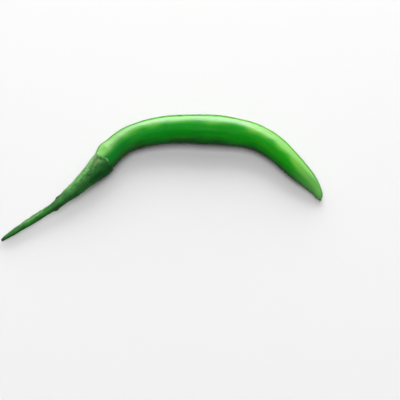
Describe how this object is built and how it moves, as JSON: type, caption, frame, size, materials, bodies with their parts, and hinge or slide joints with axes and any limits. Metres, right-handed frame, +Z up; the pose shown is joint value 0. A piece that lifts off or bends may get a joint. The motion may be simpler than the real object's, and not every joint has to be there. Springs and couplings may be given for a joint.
{
  "type": "green chilli pepper",
  "caption": "Fresh green finger chilli lying on its side: a long, tapering pod bent in an arch, a ribbed calyx cup and a long stem.",
  "frame": {"origin": "middle of the bounding box, on the surface the chilli lies on", "axes": "+X towards the pod's tip, +Y towards the outside of the pod's bend, +Z up"},
  "size_m": [0.146, 0.0652, 0.0143],
  "materials": {
    "pod": "smooth waxy green skin, glossy",
    "calyx": "matte ribbed green, slightly bruised at the rim",
    "stem": "matte green with long grooves, brown at the cut end"
  },
  "bodies": {
    "root": {"pod": "pod", "calyx": "calyx", "stem": "stem"}
  },
  "joints": []
}
